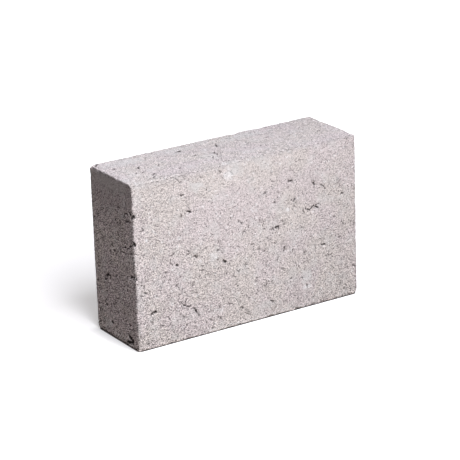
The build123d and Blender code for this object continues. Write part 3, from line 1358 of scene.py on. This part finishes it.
        height = 0.0
        for node, rise in zip((sand, grit, fine, wide, gaps), self.rises):
            height = graph.math("MULTIPLY_ADD", node.outputs[0], rise, height)
        bump = graph.add("ShaderNodeBump", Height=height, Distance=self.bump_height, Strength=1.0)
        shader = graph.add(
            "ShaderNodeBsdfPrincipled",
            Base_Color=shaded,
            Roughness=self.roughness,
            Specular_IOR_Level=self.specular,
            Normal=bump.outputs[0],
        )
        graph.add("ShaderNodeOutputMaterial", Surface=shader.outputs[0])
        return material


def direction(azimuth: float, elevation: float) -> Vector:
    """Returns the unit vector towards an azimuth, from -Y towards +X, and an elevation, in degrees."""
    across, up = azimuth * DEG, elevation * DEG
    level = math.cos(up)
    return Vector((math.sin(across) * level, -math.cos(across) * level, math.sin(up)))


@dataclass(frozen=True)
class Sun:
    """A broad, far light, by where it comes from and how strong and soft it is."""

    name: str
    azimuth: float
    elevation: float
    strength: float
    spread: float
    tint: tuple[float, float, float] = (1.0, 1.0, 1.0)
    distance: float = 3.0

    def data(self) -> bpy.types.Light:
        """Returns the light's own settings."""
        data = bpy.data.lights.new(self.name, "SUN")
        data.energy = self.strength
        data.angle = self.spread * DEG
        return data

    def build(self, target: Vector) -> bpy.types.Object:
        """Makes the light.

        Args:
            target: the point that it faces.

        Returns:
            The light, at its azimuth, counted from -Y towards +X, and its elevation.
        """
        data = self.data()
        data.color = self.tint
        light = bpy.data.objects.new(self.name, data)
        away = direction(self.azimuth, self.elevation)
        light.rotation_euler = away.to_track_quat("Z", "Y").to_euler()
        light.location = target + away * self.distance
        bpy.context.scene.collection.objects.link(light)
        return light


@dataclass(frozen=True)
class SoftBox(Sun):
    """A near, square light, with its strength in watts and its spread as the width of the square."""

    def data(self) -> bpy.types.Light:
        """Returns the light's own settings."""
        data = bpy.data.lights.new(self.name, "AREA")
        data.shape = "SQUARE"
        data.size = self.spread
        data.energy = self.strength
        return data


@dataclass(frozen=True)
class Studio:
    """A plain pale floor and sky, with soft boxes above and in front and weak lights beside and behind."""

    floor_half: float = 8.0
    floor_colour: tuple = colour(0.99, 0.99, 0.99)
    floor_glow: tuple = colour(0.27, 0.275, 0.275)
    corner_radius: float = 6.0 * MM
    # Painted contact shadow on the floor round the block's foot, and painted shade beyond its left end.
    contact_shadow_start: float = 4.9 * MM
    contact_shadow_end: float = 6.6 * MM
    shade_depth: float = 0.24
    shade_reach: float = 20 * MM
    far_start: float = 0.20
    far_end: float = 0.55
    far_glow: float = 3.0
    floor_bounce: tuple = colour(0.24, 0.208, 0.20)
    sky_seen: tuple = colour(1.0, 1.0, 1.0)
    sky_light: tuple = colour(0.103, 0.088, 0.083)
    lights: tuple[Sun, ...] = (
        SoftBox("key_light", -7, 53, 25.7, 0.85, (1.0, 1.012, 1.075), 1.5),
        SoftBox("front_light", -4, 14, 14.3, 0.9, (1.0, 0.97, 0.915), 1.8),
        Sun("side_light", -84, 40, 0.22, 10, (1.0, 0.86, 0.81)),
        Sun("rear_light", 165, 45, 0.50, 50, (0.97, 0.98, 1.04)),
    )

    def around(self, graph: Graph, place: object, box: Box) -> tuple[bpy.types.NodeSocket, ...]:
        """Works out the shadow painted on the floor at a place.

        Args:
            graph: the floor material's graph.
            place: the coordinates.
            box: the box of the block.

        Returns:
            A factor of painted shadow that is 0 under the block, a little low beyond its left end and 1
            elsewhere, and one that grows from 1 far away.
        """
        folded = graph.vector("ABSOLUTE", place, (0.0, 0.0, 0.0))
        inner = (box.high.x - self.corner_radius, box.high.y - self.corner_radius, 0.0)
        gap = graph.vector("MAXIMUM", graph.vector("SUBTRACT", folded, inner), (0.0, 0.0, 0.0))
        distance = graph.add("ShaderNodeVectorMath", {"operation": "LENGTH"}, _0=gap).outputs["Value"]
        close = graph.spread(distance, self.contact_shadow_start, self.contact_shadow_end, 0.0, 1.0)
        far = graph.spread(distance, self.far_start, self.far_end, 1.0, self.far_glow)
        end, side = box.high.x, box.high.y
        leftward = graph.math("MULTIPLY", graph.coordinates(place)[0], -1.0)
        sideways = graph.coordinates(folded)[1]
        shade = graph.spread(leftward, end, end + self.shade_reach, self.shade_depth, 0.0)
        shade = graph.math("MULTIPLY", shade, graph.spread(leftward, end - 2 * MM, end, 0.0, 1.0))
        shade = graph.math("MULTIPLY", shade, graph.spread(sideways, side - 4 * MM, side + 6 * MM, 1.0, 0.0))
        return graph.math("MULTIPLY", close, graph.math("SUBTRACT", 1.0, shade)), far

    def build_floor(self, box: Box) -> bpy.types.Object:
        """Makes the floor, which looks pale to the camera and throws less light back than it shows.

        Args:
            box: the box of the block, around which a contact shadow is painted on the floor where they meet.

        Returns:
            The floor.
        """
        mesh = bmesh.new()
        bmesh.ops.create_grid(mesh, x_segments=8, y_segments=8, size=self.floor_half)
        data = bpy.data.meshes.new("floor")
        mesh.to_mesh(data)
        mesh.free()
        floor = bpy.data.objects.new("floor", data)
        bpy.context.scene.collection.objects.link(floor)
        material = bpy.data.materials.new("pale_floor")
        material.use_nodes = True
        graph = Graph(material.node_tree)
        place = graph.add("ShaderNodeTexCoord").outputs["Object"]
        close, far = self.around(graph, place, box)
        # The floor's colour and glow fall to nothing at the block's foot: a painted contact shadow.
        lit = graph.add("ShaderNodeBsdfDiffuse", Color=graph.scaled(self.floor_colour[:3], close))
        strength = graph.math("MULTIPLY", close, far)
        glow = graph.add("ShaderNodeEmission", Color=self.floor_glow, Strength=strength)
        seen = graph.add("ShaderNodeAddShader", _0=lit.outputs[0], _1=glow.outputs[0])
        bounce = graph.add("ShaderNodeBsdfDiffuse", Color=self.floor_bounce)
        camera_ray = graph.add("ShaderNodeLightPath").outputs["Is Camera Ray"]
        mixed = graph.add("ShaderNodeMixShader", _0=camera_ray, _1=bounce.outputs[0], _2=seen.outputs[0])
        graph.add("ShaderNodeOutputMaterial", Surface=mixed.outputs[0])
        data.materials.append(material)
        return floor

    def build_sky(self) -> None:
        """Makes the sky, white to the camera and dim as a light."""
        world = bpy.data.worlds.new("studio_sky")
        world.use_nodes = True
        bpy.context.scene.world = world
        graph = Graph(world.node_tree)
        seen = graph.add("ShaderNodeBackground", Color=self.sky_seen)
        light = graph.add("ShaderNodeBackground", Color=self.sky_light)
        camera_ray = graph.add("ShaderNodeLightPath").outputs["Is Camera Ray"]
        mixed = graph.add("ShaderNodeMixShader", _0=camera_ray, _1=light.outputs[0], _2=seen.outputs[0])
        graph.add("ShaderNodeOutputWorld", Surface=mixed.outputs[0])

    def build(self, block: Box, target: Vector) -> None:
        """Makes the floor, the sky and the lights, and keeps colours as they are lit.

        Args:
            block: the box of the block.
            target: the point that the lights face.
        """
        self.build_floor(block)
        self.build_sky()
        for light in self.lights:
            light.build(target)
        bpy.context.scene.view_settings.view_transform = "Standard"


@dataclass(frozen=True)
class PhotoCamera:
    """The camera, at the angle and distance that fit the seven corners of the block that show."""

    azimuth: float = -32.107
    elevation: float = 19.753
    roll: float = -1.971
    distance: float = 2.5425
    target_right: float = -3.53 * MM
    target_up: float = -0.93 * MM
    lens: float = 178.85
    sensor: float = 36.0

    def build(self, target: Vector) -> bpy.types.Object:
        """Makes the camera.

        Args:
            target: the point that the fit turns about, the centre of the block.

        Returns:
            The camera, set as the scene's own.
        """
        back = direction(self.azimuth, self.elevation)
        roll = self.roll * DEG
        level = (-back).cross(Vector((0.0, 0.0, 1.0))).normalized()
        above = level.cross(-back)
        right = level * math.cos(roll) + above * math.sin(roll)
        up = above * math.cos(roll) - level * math.sin(roll)
        data = bpy.data.cameras.new("camera")
        data.lens = self.lens
        data.sensor_fit = "HORIZONTAL"
        data.sensor_width = self.sensor
        data.clip_end = 100.0
        camera = bpy.data.objects.new("camera", data)
        place = target - right * self.target_right - up * self.target_up + back * self.distance
        camera.matrix_world = Matrix.Translation(place) @ Matrix((right, up, back)).transposed().to_4x4()
        bpy.context.scene.collection.objects.link(camera)
        bpy.context.scene.camera = camera
        return camera


def main() -> None:
    """Builds the block's shell, the studio and the camera, in that order."""
    logging.basicConfig(level=logging.INFO, format="%(name)s: %(message)s")
    box = Box(*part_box(NODE))
    shell = BlockShell(box, ConcreteFinish()).build()
    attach(shell, "root")
    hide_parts(NODE)
    middle = (box.low + box.high) / 2
    Studio().build(box, middle)
    PhotoCamera().build(middle)


if __name__ == "__main__":
    main()
